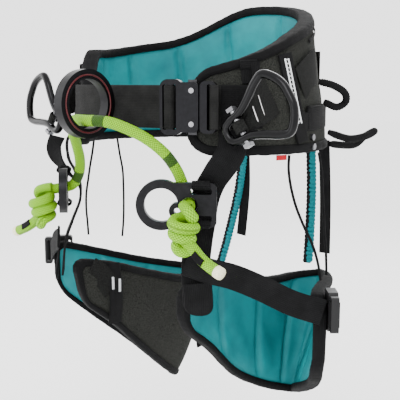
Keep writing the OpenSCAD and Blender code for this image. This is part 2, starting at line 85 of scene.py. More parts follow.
# ---- camera ----
cameraSpec = {"azimuth": 42, "elevation": 8.5, "distance": 0.95, "lens": 71.25, "aimRight": 0.0096, "aimUp": -0.1158}


def makeCamera(spec):
    az, el = math.radians(spec["azimuth"]), math.radians(spec["elevation"])
    back = Vector((math.sin(az) * math.cos(el), -math.cos(az) * math.cos(el), math.sin(el)))
    right = Vector((math.cos(az), math.sin(az), 0))
    up = back.cross(right)
    cam = bpy.data.cameras.new("camera")
    cam.lens, cam.sensor_width, cam.clip_start = spec["lens"], 36, 0.05
    obj = bpy.data.objects.new("camera", cam)
    bpy.context.scene.collection.objects.link(obj)
    target = right * spec["aimRight"] + up * spec["aimUp"]
    turn = Matrix((right, up, back)).transposed().to_4x4()
    obj.matrix_world = Matrix.Translation(target + back * spec["distance"]) @ turn
    bpy.context.scene.camera = obj


makeCamera(cameraSpec)

# ---- helpers for shapes ----


def vec(p):
    return Vector(p) * mm


def mirrored(points):
    return [(-p[0], p[1], p[2]) for p in points]


# A smooth line through the points, with about n points.
def smooth(points, n, closed=False):
    pts = [Vector(p) for p in points]
    m = len(pts)
    spans = m if closed else m - 1
    out = []
    for k in range(n if closed else n + 1):
        u = k * spans / n
        i = min(int(u), spans - 1)
        t = u - i
        if closed:
            a, b, c, d = (pts[(i + j) % m] for j in (-1, 0, 1, 2))
        else:
            a, b, c, d = pts[max(i - 1, 0)], pts[i], pts[i + 1], pts[min(i + 2, m - 1)]
        out.append(0.5 * ((2 * b) + (c - a) * t + (2 * a - 5 * b + 4 * c - d) * t * t
                          + (3 * b - a - 3 * c + d) * t * t * t))
    return out


# The same line with its points evenly spaced.
def even(points, step):
    total, marks = 0, [0]
    for a, b in zip(points, points[1:]):
        total += (b - a).length
        marks.append(total)
    n = max(2, round(total / step))
    out, i = [], 0
    for k in range(n + 1):
        s = total * k / n
        while i < len(points) - 2 and marks[i + 1] < s:
            i += 1
        span = max(marks[i + 1] - marks[i], 1e-12)
        out.append(points[i].lerp(points[i + 1], min(1, max(0, (s - marks[i]) / span))))
    return out


def lineLength(points):
    return sum((b - a).length for a, b in zip(points, points[1:]))


def meshPiece(name, verts, faces, material, body, nodes=(), uv=None, shade=True):
    mesh = bpy.data.meshes.new(name)
    mesh.from_pydata([tuple(v) for v in verts], [], faces)
    mesh.validate()
    obj = bpy.data.objects.new(name, mesh)
    bpy.context.scene.collection.objects.link(obj)
    if uv:
        layer = mesh.uv_layers.new(name="along")
        for loop in mesh.loops:
            layer.data[loop.index].uv = uv[loop.vertex_index]
    mesh.materials.append(material)
    for p in mesh.polygons:
        p.use_smooth = shade
    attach(obj, body)
    if nodes:
        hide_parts(*nodes)
    return obj


# A closed section carried along rings of points; every ring has the same number of points.
def skinRings(rings, closed=False):
    n, m = len(rings[0]), len(rings)
    verts = [p for ring in rings for p in ring]
    faces = []
    for i in range(m if closed else m - 1):
        for j in range(n):
            a, b = i * n + j, i * n + (j + 1) % n
            c, d = ((i + 1) % m) * n + (j + 1) % n, ((i + 1) % m) * n + j
            faces.append((a, d, c, b))
    if not closed:
        faces.append(tuple(range(n)))
        faces.append(tuple((m - 1) * n + j for j in range(n - 1, -1, -1)))
    return verts, faces


def tangents(points, closed=False):
    n = len(points)
    out = []
    for i in range(n):
        a = points[(i - 1) % n] if closed else points[max(i - 1, 0)]
        b = points[(i + 1) % n] if closed else points[min(i + 1, n - 1)]
        out.append((b - a).normalized())
    return out


# The outline of a strap's section: rounded at its edges, across by thick.
def strapSection(width, thick, across=10):
    w, t, out = width / 2, thick / 2, []
    e = thick * 0.45
    for s in (1, -1):
        for k in range(across + 1):
            out.append(((w - e) * (2 * k / across - 1) * s, t * s))
        out.append(((w - e * 0.3) * s, t * 0.7 * s))
        out.append((w * s, 0))
        out.append(((w - e * 0.3) * s, -t * 0.7 * s))
    return out


# A flat strap: points are its middle line, wides are the directions across it.
def strapPiece(name, points, wides, width, thick, material, body, nodes=(), wave=0.0, seed=0.0):
    tans = tangents(points)
    rings, uv, run = [], [], 0
    for i, p in enumerate(points):
        run += (p - points[i - 1]).length if i else 0
        thickDir = tans[i].cross(wides[i]).normalized()
        across = thickDir.cross(tans[i]).normalized()
        ring = []
        w = width[i] if isinstance(width, list) else width
        for a, b in strapSection(w, thick):
            bend = wave * math.sin(run * 60 + seed + a * 90) if wave else 0
            ring.append(p + across * a + thickDir * (b + bend))
            uv.append((run, a))
        rings.append(ring)
    verts, faces = skinRings(rings)
    return meshPiece(name, verts, faces, material, body, nodes, uv)


def tubePiece(name, points, radius, material, body, nodes=(), sides=20, closed=False, ripple=None):
    tans = tangents(points, closed)
    side = tans[0].orthogonal().normalized()
    rings, uv, run = [], [], 0
    for i, p in enumerate(points):
        run += (p - points[i - 1]).length if i else 0
        side = (side - tans[i] * side.dot(tans[i])).normalized()
        other = tans[i].cross(side)
        r = radius(i / (len(points) - 1)) if callable(radius) else radius
        if ripple:
            r += ripple[0] * math.sin(run / ripple[1] * 2 * math.pi)
        for j in range(sides):
            a = 2 * math.pi * j / sides
            uv.append((run, j / sides))
        rings.append([p + (side * math.cos(2 * math.pi * j / sides) + other * math.sin(2 * math.pi * j / sides)) * r
                      for j in range(sides)])
    verts, faces = skinRings(rings, closed)
    return meshPiece(name, verts, faces, material, body, nodes, uv)


# ---- helpers for materials ----


class Maker:
    def __init__(self, name):
        self.mat = bpy.data.materials.new(name)
        self.mat.use_nodes = True
        self.tree = self.mat.node_tree
        self.shader = self.tree.nodes["Principled BSDF"]

    def node(self, kind, **values):
        n = self.tree.nodes.new(kind)
        for key, value in values.items():
            setattr(n, key, value)
        return n

    def link(self, a, b):
        self.tree.links.new(a, b)

    def math(self, operation, a, b=None):
        n = self.node("ShaderNodeMath", operation=operation)
        for i, x in enumerate((a, b)):
            if x is None:
                continue
            if isinstance(x, (int, float)):
                n.inputs[i].default_value = x
            else:
                self.link(x, n.inputs[i])
        return n.outputs[0]

    def uvParts(self, scale=(1, 1)):
        coord = self.node("ShaderNodeTexCoord")
        split = self.node("ShaderNodeSeparateXYZ")
        self.link(coord.outputs["UV"], split.inputs[0])
        return self.math("MULTIPLY", split.outputs[0], scale[0]), self.math("MULTIPLY", split.outputs[1], scale[1])

    def noise(self, scale, detail=3, rough=0.6):
        coord = self.node("ShaderNodeTexCoord")
        n = self.node("ShaderNodeTexNoise")
        n.inputs["Scale"].default_value = scale
        n.inputs["Detail"].default_value = detail
        n.inputs["Roughness"].default_value = rough
        self.link(coord.outputs["Object"], n.inputs["Vector"])
        return n.outputs["Fac"]

    def colour(self, fac, stops):
        ramp = self.node("ShaderNodeValToRGB")
        while len(ramp.color_ramp.elements) < len(stops):
            ramp.color_ramp.elements.new(0.5)
        for e, (at, c) in zip(ramp.color_ramp.elements, stops):
            e.position, e.color = at, (*c, 1)
        self.link(fac, ramp.inputs[0])
        return ramp.outputs[0]

    def bump(self, height, strength, distance, after=None):
        n = self.node("ShaderNodeBump")
        n.inputs["Strength"].default_value = strength
        n.inputs["Distance"].default_value = distance
        self.link(height, n.inputs["Height"])
        if after:
            self.link(after, n.inputs["Normal"])
        return n.outputs[0]

    def finish(self, base, normal, rough, metal=0.0, sheen=0.0, specular=0.5, coat=0.0):
        s = self.shader.inputs
        if isinstance(base, tuple):
            s["Base Color"].default_value = (*base, 1)
        else:
            self.link(base, s["Base Color"])
        if normal:
            self.link(normal, s["Normal"])
        s["Roughness"].default_value = rough
        s["Metallic"].default_value = metal
        s["Sheen Weight"].default_value = sheen
        s["Sheen Roughness"].default_value = 0.4
        s["Specular IOR Level"].default_value = specular
        s["Coat Weight"].default_value = coat
        s["Coat Roughness"].default_value = 0.15
        return self.mat


# Woven tape: ribs along it, with a finer thread across.
def webbingMaterial(name, dark, light, pitch=1.9, rib=0.5, thread=1.3):
    m = Maker(name)
    u, v = m.uvParts((2 * math.pi / (thread * mm), 2 * math.pi / (pitch * mm)))
    ribs = m.math("SINE", v)
    shifted = m.math("ADD", u, m.math("MULTIPLY", ribs, 1.2))
    threads = m.math("SINE", shifted)
    height = m.math("ADD", m.math("MULTIPLY", ribs, rib), m.math("MULTIPLY", threads, 0.5))
    tone = m.math("ADD", m.math("MULTIPLY", height, 0.3), m.noise(60, 4))
    base = m.colour(tone, [(0.2, dark), (0.95, light)])
    return m.finish(base, m.bump(height, 0.5, 0.0005), 0.8, specular=0.1)


# Coarse mottled cloth.
def clothMaterial(name, dark, light, pitch=1.4, spots=900):
    m = Maker(name)
    u, v = m.uvParts((2 * math.pi / (pitch * mm), 2 * math.pi / (pitch * mm)))
    weave = m.math("MULTIPLY", m.math("SINE", u), m.math("SINE", v))
    flecks = m.noise(spots, 2, 0.7)
    tone = m.math("ADD", m.math("MULTIPLY", weave, 0.12), flecks)
    base = m.colour(tone, [(0.36, dark), (0.66, light)])
    height = m.math("ADD", weave, m.math("MULTIPLY", m.noise(40, 3), 2))
    return m.finish(base, m.bump(height, 0.45, 0.0006), 0.9, specular=0.08)


# Soft knitted facing over foam.
def foamMaterial(name, dark, light):
    m = Maker(name)
    u, v = m.uvParts((2 * math.pi / (2.4 * mm), 2 * math.pi / (2.4 * mm)))
    knit = m.math("MULTIPLY", m.math("SINE", m.math("ADD", u, v)), m.math("SINE", m.math("SUBTRACT", u, v)))
    tone = m.math("ADD", m.math("MULTIPLY", knit, 0.1), m.noise(18, 4))
    base = m.colour(tone, [(0.25, dark), (0.75, light)])
    height = m.math("ADD", m.math("MULTIPLY", knit, 0.25), m.math("MULTIPLY", m.noise(25, 3), 2.5))
    return m.finish(base, m.bump(height, 0.35, 0.0008), 0.6, specular=0.2)


# Braided sheath: strands crossing both ways round the rope.
def ropeMaterial(name, dark, light, marker, bands, scale=(1, 1)):
    m = Maker(name)
    u, v = m.uvParts(scale)
    along = m.math("MULTIPLY", u, 2 * math.pi / (5.2 * mm))
    around = m.math("MULTIPLY", v, 2 * math.pi * 6)
    one = m.math("SINE", m.math("ADD", along, around))
    two = m.math("SINE", m.math("SUBTRACT", along, around))
    cell = m.math("MULTIPLY", one, two)
    fine = m.math("SINE", m.math("MULTIPLY", u, 2 * math.pi / (0.9 * mm)))
    height = m.math("ADD", m.math("ABSOLUTE", cell), m.math("MULTIPLY", fine, 0.08))
    base = m.colour(m.math("ABSOLUTE", cell), [(0.0, dark), (0.4, light)])
    for start, end in bands:
        inside = m.math("MULTIPLY", m.math("GREATER_THAN", u, start), m.math("LESS_THAN", u, end))
        mix = m.node("ShaderNodeMix", data_type="RGBA")
        m.link(m.math("MULTIPLY", inside, 0.9), mix.inputs[0])
        m.link(base, mix.inputs[6])
        mix.inputs[7].default_value = (*marker, 1)
        base = mix.outputs[2]
    return m.finish(base, m.bump(height, 0.8, 0.001), 0.55, specular=0.2)


def metalMaterial(name, colour, rough, metal=1.0, grain=220, coat=0.0, specular=0.5):
    m = Maker(name)
    speck = m.noise(grain, 4)
    dark = tuple(c * 0.8 for c in colour)
    light = tuple(min(1, c * 1.25) for c in colour)
    base = m.colour(speck, [(0.3, dark), (0.7, light)])
    return m.finish(base, m.bump(speck, 0.12, 0.0002), rough, metal, coat=coat, specular=specular)


# Gathered elastic: painted highlight on each pucker crest and painted shade in each fold, in turn; one half of the
# width is also coloured darker than the other.
def gatherMaterial(name, crestHighlight, dark, pitch):
    m = Maker(name)
    u, v = m.uvParts((2 * math.pi / (pitch * mm), 1 / (7 * mm)))
    wave = m.math("SINE", m.math("ADD", u, m.math("MULTIPLY", m.noise(90, 2), 1.5)))
    # the tone mixes the pucker wave (painted crest highlight and fold shade) with the position across the strap
    tone = m.math("ADD", m.math("MULTIPLY", wave, 0.14), m.math("ADD", v, 0.5))
    base = m.colour(tone, [(0.42, dark), (0.5, crestHighlight)])
    return m.finish(base, m.bump(wave, 0.6, 0.001), 0.7, specular=0.12)


blackWeb = webbingMaterial("blackWebbing", (0.0008, 0.0008, 0.001), (0.0065, 0.0065, 0.007))
greyWeb = webbingMaterial("greyWebbing", (0.002, 0.002, 0.002), (0.014, 0.014, 0.0135), 1.7, 0.3, 1.3)
tape = webbingMaterial("bindingTape", (0.0008, 0.0008, 0.001), (0.0045, 0.0045, 0.005), 1.6, 0.2, 0.9)
greyCloth = clothMaterial("greyCloth", (0.003, 0.0033, 0.003), (0.03, 0.031, 0.027))
darkCloth = clothMaterial("darkCloth", (0.002, 0.002, 0.002), (0.014, 0.0145, 0.0135))
teal = foamMaterial("tealFoam", (0.0, 0.1, 0.115), (0.0, 0.19, 0.205))
# teal is the painted highlight on the pucker crests, near black the painted shade in the folds
gather = gatherMaterial("gatheredElastic", (0.0, 0.13, 0.15), (0.001, 0.0012, 0.0015), 4.0)
blackMetal = metalMaterial("blackAnodised", (0.006, 0.006, 0.007), 0.36, 0.9, 300, 0.0)
glossMetal = metalMaterial("polishedBlack", (0.003, 0.003, 0.0035), 0.2, 0.8, 260, 0.05)
bareMetal = metalMaterial("brightSteel", (0.17, 0.17, 0.18), 0.32)
greyMetal = metalMaterial("machinedGrey", (0.03, 0.03, 0.032), 0.4)
forged = metalMaterial("darkForging", (0.01, 0.01, 0.011), 0.36, 0.9)
redBand = metalMaterial("redBand", (0.06, 0.002, 0.004), 0.4, 0.3)
plastic = metalMaterial("blackPlastic", (0.003, 0.003, 0.0035), 0.42, 0.0, 400, specular=0.25)
shine = metalMaterial("reflectiveTape", (0.62, 0.64, 0.66), 0.35, 0.4, 900)
thread = metalMaterial("paleThread", (0.6, 0.6, 0.6), 0.7, 0.0, 2000)
redCloth = clothMaterial("redCloth", (0.25, 0.005, 0.01), (0.5, 0.02, 0.03))
ribbedTube = webbingMaterial("ribbedTube", (0.0008, 0.0008, 0.001), (0.005, 0.005, 0.0055), 400, 0.1, 2.4)
cordMat = webbingMaterial("blackCord", (0.0008, 0.0008, 0.001), (0.006, 0.006, 0.0065), 400, 0.1, 1.2)

limeDark, limeLight, limeMark = (0.02, 0.09, 0.0), (0.22, 0.5, 0.0), (0.006, 0.03, 0.002)

# ---- cords ----


# A free cord as one round curve, drawn through the points.
def cordPiece(name, points, diameter, material, nodes):
    line = even(points, 0.004)
    curve = bpy.data.curves.new(name, "CURVE")
    curve.dimensions = "3D"
    curve.bevel_depth = diameter / 2
    curve.bevel_resolution = 6
    curve.use_fill_caps = True
    spline = curve.splines.new("POLY")
    spline.points.add(len(line) - 1)
    for p, q in zip(spline.points, line):
        p.co = (*q, 1)
    spline.use_smooth = True
    curve.materials.append(material)
    obj = bpy.data.objects.new(name, curve)
    bpy.context.scene.collection.objects.link(obj)
    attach(obj, "saddle")
    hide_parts(*nodes)
    return obj


ropeSpec = {"diameter": 0.012, "bands": [0.095, 0.535, 0.775], "bandLength": 0.013}
ropeHalf = [(112, -127, -101), (102, -115, -99), (93.5, -108, -95), (84.5, -106, -81), (78, -110, -64),
            (70, -121, -46), (55, -138, -29), (30, -157, -16)]
ropeAll = [vec(p) for p in mirrored(ropeHalf) + [(0, -165, -14.5)] + ropeHalf[::-1]]
ropeLine = smooth(ropeAll, 160)
ropeLong = lineLength(ropeLine)
bandEnds = [(k * ropeLong, k * ropeLong + ropeSpec["bandLength"]) for k in ropeSpec["bands"]]
ropeSpan = ropeMaterial("ropeSpan", limeDark, limeLight, limeMark, bandEnds, (ropeLong, 1))
ropeMesh = ropeMaterial("ropeTail", limeDark, limeLight, limeMark, [])
cordPiece("bridgeRope", ropeLine, ropeSpec["diameter"], ropeSpan, ["bridge_rope"])

thinSpec = {"diameter": 0.003}
frontCord = [(158, -20, -51), (159, -22, -66), (163, -23, -84), (169, -22, -104), (177, -19, -124),
             (185, -13, -145), (189, -8, -165), (191, -5, -184)]
rearCord = [(164, 27, -51), (165, 32, -73), (164, 36, -95), (165, 38, -118), (166, 39, -141),
            (168, 40, -165), (170, 39, -190)]
for side, points in (("left", frontCord), ("right", mirrored(frontCord))):
    cordPiece("frontCord." + side, smooth([vec(p) for p in points], 60), thinSpec["diameter"], cordMat,
              ["cord_front_" + side])
for side, points in (("left", rearCord), ("right", mirrored(rearCord))):
    cordPiece("rearCord." + side, smooth([vec(p) for p in points], 60), thinSpec["diameter"], cordMat,
              ["cord_rear_" + side])
print("stage cords done")

# ---- padded panels ----


# A panel on a curved wall: at(t, v, off) is a point on it, with v running down from its top edge.
class Panel:
    def __init__(self, at, height, inset, radius):
        self.at, self.height, self.radius = at, height, radius
        steps = 400
        pts = [at(i / steps, 0.5, 0) for i in range(steps + 1)]
        self.marks = [0]
        for a, b in zip(pts, pts[1:]):
            self.marks.append(self.marks[-1] + (b - a).length)
        self.length = self.marks[-1]
        self.inset = inset

    def share(self, s):
        s = min(max(s, 0), self.length)
        lo, hi = 0, len(self.marks) - 1
        while hi - lo > 1:
            mid = (lo + hi) // 2
            if self.marks[mid] <= s:
                lo = mid
            else:
                hi = mid
        part = (s - self.marks[lo]) / max(self.marks[hi] - self.marks[lo], 1e-9)
        return (lo + part) / (len(self.marks) - 1)

    # How far the edge is pulled in by a rounded corner, at the distance s along.
    def pull(self, s, inset):
        r = max(self.radius - inset, 0.001)
        d = min(s, self.length - s) - inset
        if d >= r:
            return 0
        d = max(d, 0)
        return r - math.sqrt(max(0, r * r - (r - d) ** 2))

    def point(self, s, down, off):
        t = self.share(s)
        return self.at(t, down / self.height(t), off)

    # Stations along the panel, closer together at both ends.
    def stations(self, inset, n=150):
        span = self.length - 2 * inset
        ends = 14
        r = max(self.radius - inset, 0.001)
        first = [inset + r * (1 - math.cos(math.pi / 2 * k / ends)) for k in range(ends)]
        middle = [inset + r + (span - 2 * r) * k / n for k in range(n + 1)]
        return first + middle + [self.length - s for s in first[::-1]]

    # The outline, drawn in by inset.
    def outline(self, inset):
        st = self.stations(inset)
        top = [(s, inset + self.pull(s, inset)) for s in st]
        low = [(s, self.height(self.share(s)) - inset - self.pull(s, inset)) for s in st[::-1]]
        return top + low


# One face of a padded panel with its thickness: offAt(s, down, edge) is the face's distance off the wall.
def facePiece(name, panel, inset, offAt, backOff, material, nodes, rows=46):
    st = panel.stations(inset)
    rings, uv = [], []
    for s in st:
        h = panel.height(panel.share(s))
        top, low = inset + panel.pull(s, inset), h - inset - panel.pull(s, inset)
        ring = []
        for k in range(rows + 1):
            d = top + (low - top) * k / rows
            edge = min(d - inset, h - inset - d, s - inset + 0.001, panel.length - inset - s + 0.001)
            ring.append(panel.point(s, d, offAt(s, d, max(edge, 0))))
            uv.append((s, d))
        for k in (1.0, 0.0):
            d = top + (low - top) * k
            ring.append(panel.point(s, d, backOff))
            uv.append((s, d))
        rings.append(ring)
    verts, faces = skinRings(rings)
    return meshPiece(name, verts, faces, material, "saddle", nodes, uv)


# A taped edge that goes round the panel.
def bindingPiece(name, panel, width, outer, inner, nodes, full=0.0012):
    section = [(width, outer - 0.0008), (width * 0.93, outer + full), (width * 0.5, outer + full * 1.3),
               (width * 0.12, outer + full * 0.4), (0, outer - 0.0015), (-0.0002, (outer + inner) / 2),
               (0, inner + 0.0015), (width * 0.12, inner - full * 0.4), (width * 0.5, inner - full * 1.3),
               (width * 0.93, inner - full), (width, inner + 0.0008)]
    loops = [panel.outline(i) for i, _ in section]
    rings, uv, run = [], [], 0
    for k in range(len(loops[0])):
        ring = [panel.point(loops[j][k][0], loops[j][k][1], section[j][1]) for j in range(len(section))]
        run += (ring[3] - rings[-1][3]).length if rings else 0
        pucker = 0.00025 * math.sin(run * 900) + 0.0002 * math.sin(run * 230)
        ring = [p + (p - ring[0]).normalized() * pucker if j not in (0, len(section) - 1) else p
                for j, p in enumerate(ring)]
        uv += [(run, j * 0.002) for j in range(len(section))]
        rings.append(ring)
    verts, faces = skinRings(rings, closed=True)
    return meshPiece(name, verts, faces, tape, "saddle", nodes, uv)


# How deep a sewn channel is at a point; channels are lines with a width and a depth.
def channelDepth(channels, s, d):
    deep = 0
    for line, width, depth in channels:
        best = 1e9
        for (s0, d0), (s1, d1) in zip(line, line[1:]):
            ds, dd = s1 - s0, d1 - d0
            k = min(1, max(0, ((s - s0) * ds + (d - d0) * dd) / max(ds * ds + dd * dd, 1e-12)))
            best = min(best, math.hypot(s - s0 - ds * k, d - d0 - dd * k))
        if best < width * 2:
            deep = max(deep, depth * math.exp(-(best / (width * 0.5)) ** 2))
    return deep


# ---- waist belt ----
beltSpec = {"halfWidth": 156, "front": 117, "back": 150, "frontRise": 30, "rightRise": 66, "rightClimb": 14, "backRise": 121, "drop": 50,
            "lean": 0.13, "end": 32, "corner": 0.030, "binding": 0.010, "shell": 0.004, "pad": 0.012}


def wall(p, z, off):
    a = math.radians(p)
    b = beltSpec["front"] if math.cos(a) > 0 else beltSpec["back"]
    out = Vector((math.sin(a) / beltSpec["halfWidth"], -math.cos(a) / b, 0)).normalized()
    shift = off - beltSpec["lean"] * z
    return Vector((beltSpec["halfWidth"] * math.sin(a) + out.x * shift, -b * math.cos(a) + out.y * shift, z)) * mm


def ease(x):
    return (1 - math.cos(math.pi * min(max(x, 0), 1))) / 2


# The edge climbs evenly on the left; on the right it climbs at both ends of a flatter stretch.
def beltRise(p):
    front, right, back = beltSpec["frontRise"], beltSpec["rightRise"], beltSpec["backRise"]
    climb = beltSpec["rightClimb"]
    if p > 180:
        return (front + (right - front) * ease((360 - beltSpec["end"] - p) / 34) + climb * ease((285 - p) / 60)
                + (back - right - climb) * ease((240 - p) / 60))
    return front + (back - front) * ease(p / 180)


def beltAngle(t):
    return beltSpec["end"] + (360 - 2 * beltSpec["end"]) * t


def beltHeight(t):
    return (beltRise(beltAngle(t)) + beltSpec["drop"]) * mm


def beltAt(t, v, off):
    p = beltAngle(t)
    top = beltRise(p)
    return wall(p, top - v * (top + beltSpec["drop"]), off / mm)


belt = Panel(beltAt, beltHeight, 0, beltSpec["corner"])


def beltRun(p):
    return belt.marks[round((p - beltSpec["end"]) / (360 - 2 * beltSpec["end"]) * 400)]


def beltChannels():
    out = []
    for p, lean in ((76, 0), (104, 4), (133, 4), (163, 3), (197, -3), (226, -4), (256, -4), (284, 0)):
        s0, s1 = beltRun(p - lean), beltRun(p + lean)
        h = beltHeight((p - 32) / 296)
        out.append(([(s0, 0), (s1, h)], 0.008, 0.0075))
    return out


channels = beltChannels()


def beltPadOff(s, d, edge):
    base = -(beltSpec["shell"] + beltSpec["pad"])
    crown = 0.0035 * (min(edge / 0.022, 1)) ** 0.6
    wrinkle = 0.0007 * math.sin(s * 120 + 3 * math.sin(d * 60)) * min(edge / 0.02, 1)
    return base + 0.003 - crown * 1.15 + channelDepth(channels, s, d) * min(edge / 0.012, 1) + wrinkle


def beltShellOff(s, d, edge):
    wave = 0.0004 * math.sin(s * 70 + d * 40) + 0.0003 * math.sin(d * 160 - s * 30)
    return -0.0012 + 0.0009 * min(edge / 0.015, 1) + wave


pad = facePiece("beltPad", belt, beltSpec["binding"] - 0.001, beltPadOff, -0.0045, teal, ["belt_pad"])
shell = facePiece("beltShell", belt, beltSpec["binding"] - 0.001, beltShellOff, -0.0043, greyCloth, ["belt_shell"])
bindingPiece("beltBinding", belt, beltSpec["binding"], 0.0, -(beltSpec["shell"] + beltSpec["pad"]), ["belt_binding"])


# A strap that lies on the outside of the belt, from one place to another (angle, height).
def wallStrap(name, route, width, material, nodes=(), off=1.9, thick=2.5, mirror=False, across=None):
    line = smooth([(p, z, 0) for p, z in route], 40)
    pts, wides = [], []
    for i, q in enumerate(line):
        a = line[min(i + 1, len(line) - 1)] - line[max(i - 1, 0)]
        here = wall(q.x, q.y, off)
        step = wall(q.x + a.x * 0.1, q.y + a.y * 0.1, off) - here
        out = (wall(q.x, q.y, off + 1) - here).normalized()
        pts.append(here)
        wides.append(step.normalized().cross(out))
    if mirror:
        flip = Vector((-1, 1, 1))
        pts, wides = [p * flip for p in pts], [w * flip for w in wides]
    return strapPiece(name, pts, wides, width * mm, thick * mm, material, "saddle", nodes)


def bothSides(make):
    for side, mirror in (("left", False), ("right", True)):
        make(side, mirror)


def hipParts(side, mirror):
    first = side == "left"

    def on(*nodes):
        return list(nodes) if first else []

    wallStrap("hipBand." + side, [(80.5, 55), (81.6, 44), (83.8, 20), (87, -16), (89, -38)], 19, blackWeb, on("hip_bands"),
              mirror=mirror)
    for k in (-1, 1):
        wallStrap(f"hipStripe.{side}.{k + 2}", [(81 + k * 1.2, 50), (83.8 + k * 1.2, 20), (87.2 + k * 1.2, -18)], 2, shine,
                  on("hip_reflectors") if k < 0 else [], off=3.5, thick=0.7, mirror=mirror)
    for i in range(16):
        z = 49 - i * 4.3
        mid = 81.1 + (50 - z) * 0.091
        wallStrap(f"hipTick.{side}.{i}", [(mid - 1.1, z), (mid, z), (mid + 1.1, z)], 0.9, thread, off=3.5, thick=0.6,
                  mirror=mirror)
    wallStrap("hipPanel." + side, [(92, 20), (99, 31), (109, 41)], 46, darkCloth, on("hip_patches"),
              off=1.0, thick=1.2, mirror=mirror)
    wallStrap("hipPatch." + side, [(90, -16), (96, -17), (103, -17)], 20, blackWeb, off=1.6, thick=2, mirror=mirror)
    wallStrap("keeperBack." + side, [(59.4, 48), (59.6, 40), (60, 24)], 17, blackWeb, on("hip_keepers"),
              off=1.8, thick=2.4, mirror=mirror)
    wallStrap("keeperTop." + side, [(55.4, 43), (59, 43.5), (63.4, 44)], 9, blackWeb, off=4.2, thick=2, mirror=mirror)
    wallStrap("keeperFold." + side, [(62.4, 46), (62.6, 38), (62.8, 24)], 10, blackWeb, off=4.6, thick=3, mirror=mirror)


bothSides(hipParts)
wallStrap("backWebbing", [(94, -13), (140, -13), (180, -13), (220, -13), (266, -13)], 26, blackWeb, ["back_webbing"])
wallStrap("sideWebbing.left", [(40, 0), (50, 0), (66, 0)], 45, blackWeb, ["side_webbing"])
wallStrap("seamTop", [(104, 70), (140, 94), (180, 104), (220, 78), (250, 62)], 4, blackWeb, off=0.9, thick=1)
wallStrap("backPanel", [(128, 30), (155, 32), (180, 34), (205, 32), (232, 28)], 62, darkCloth, off=0.8, thick=1)
wallStrap("redTag", [(73, -53.2), (76, -53.2), (79, -53.2)], 5.6, redCloth, ["red_tag"], off=-3, thick=0.9)
print("stage belt done")

# ---- gear loops ----
loopSpec = {"radius": 0.004, "rib": (0.00028, 0.0026)}
upperLoop = [(158, 26, 28), (160, 30, 26), (172, 40, 22), (178, 54, 14), (176, 60, 4), (168, 54, -2), (160, 42, 4)]
lowerLoop = [(160, 52, -30), (172, 76, -38), (176, 108, -36), (172, 132, -32), (158, 136, -38), (156, 112, -48), (156, 62, -44)]
for side, flip in (("left", 1), ("right", -1)):
    for name, route in (("upper", upperLoop), ("lower", lowerLoop)):
        pts = even(smooth([vec((flip * x, y, z)) for x, y, z in route[1 if name == "upper" else 0:]], 120), 0.0005)
        tubePiece(f"gearLoop.{name}.{side}", pts, lambda k: 0.004 * min(1, 0.72 + 6 * min(k, 1 - k)), ribbedTube, "saddle",
                  [f"gear_loop_{name}_{side}"], ripple=loopSpec["rib"])
print("stage gear loops done")

# ---- front strap and buckle ----
frontStrap = {"width": 0.045, "thick": 0.0026}
c26, s26 = math.cos(math.radians(26)), math.sin(math.radians(26))


def atBuckle(x, y, z):
    return Vector((92 + c26 * x - s26 * y, -107 + s26 * x + c26 * y, z)) * mm


frontRoute = [(79, -104), (69, -108.5), (58, -113), (30, -120), (0, -123), (-35, -120), (-65, -112), (-88, -102), (-97, -97)]
frontPts = [vec((x, y, 0)) for x, y in frontRoute]
frontWides = [Vector((0, 0, 1))] * len(frontPts)
for p in (318, 312, 306, 300):
    frontPts.append(wall(p, 0, 2.4))
    frontWides.append((wall(p, 20, 2.4) - wall(p, -20, 2.4)).normalized())
line = smooth(frontPts, 120)
wideLine = smooth(frontWides, 120)
strapPiece("frontStrap", line, wideLine, frontStrap["width"], frontStrap["thick"], greyWeb, "saddle",
           ["front_strap"], wave=0.0003)


# Webbing folded round a bar of the buckle, and doubled back along itself.
def foldPiece(name, middle, reach, half, thick, material, body, nodes, place=atBuckle, height=0.0448, tail=12):
    s = 1 if reach > 0 else -1
    r = half
    path = [(middle + s * tail, -r * 0.9), (middle + s * 4, -r)]
    for k in range(9):
        a = math.pi / 2 + math.pi * k / 8
        path.append((middle + s * math.cos(a) * r * 0.75, -math.sin(a) * r))
    path += [(middle + s * 4, r), (middle + s * tail, r * 0.9)]
    pts = smooth([place(x, y, 0) for x, y in path], 60)
    return strapPiece(name, pts, [Vector((0, 0, 1))] * len(pts), height, thick, material, body, nodes)


foldPiece("bodyWrap", -18.5, -1, 5.2, 0.0022, greyWeb, "saddle", ["body_wrap"], tail=4)
foldPiece("tongueWrap", 28.5, 1, 5.0, 0.0022, greyWeb, "buckle_tongue", ["tongue_wrap"], tail=4.5)
print("stage front strap done")


# The CAD pieces that are shown as they are, with a small bevel.
def finishNode(name, material, width=0.0006):
    obj = next(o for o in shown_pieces() if o.get("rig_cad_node") == name)
    obj.data.materials.clear()
    obj.data.materials.append(material)
    if width:
        bevel = obj.modifiers.new("softEdge", "BEVEL")
        bevel.width, bevel.segments, bevel.limit_method = width, 3, "ANGLE"
        bevel.angle_limit = math.radians(40)
        bevel.use_clamp_overlap = True
        bevel.harden_normals = False
    for p in obj.data.polygons:
        p.use_smooth = True
    smoothing = obj.modifiers.new("flatFaces", "WEIGHTED_NORMAL")
    smoothing.keep_sharp = True
    return obj


for name in ("buckle_body", "buckle_tongue"):
    finishNode(name, blackMetal, 0.0009)
for name in ("buckle_clip_upper", "buckle_clip_lower"):
    finishNode(name, greyMetal, 0.0005)
finishNode("buckle_rivets", bareMetal, 0.0005)
finishNode("snap_studs", bareMetal, 0.0006)
for side in ("left", "right"):
    finishNode("ventral_ring_" + side, forged, 0.0012)
    finishNode("d_pin_" + side, bareMetal, 0.0007)
    finishNode("leg_buckle_" + side, plastic, 0.001)
    finishNode("leg_tongue_" + side, plastic, 0.0008)
finishNode("bridge_ring", blackMetal, 0.0015)
finishNode("ring_bands", redBand, 0)
print("stage metal done")

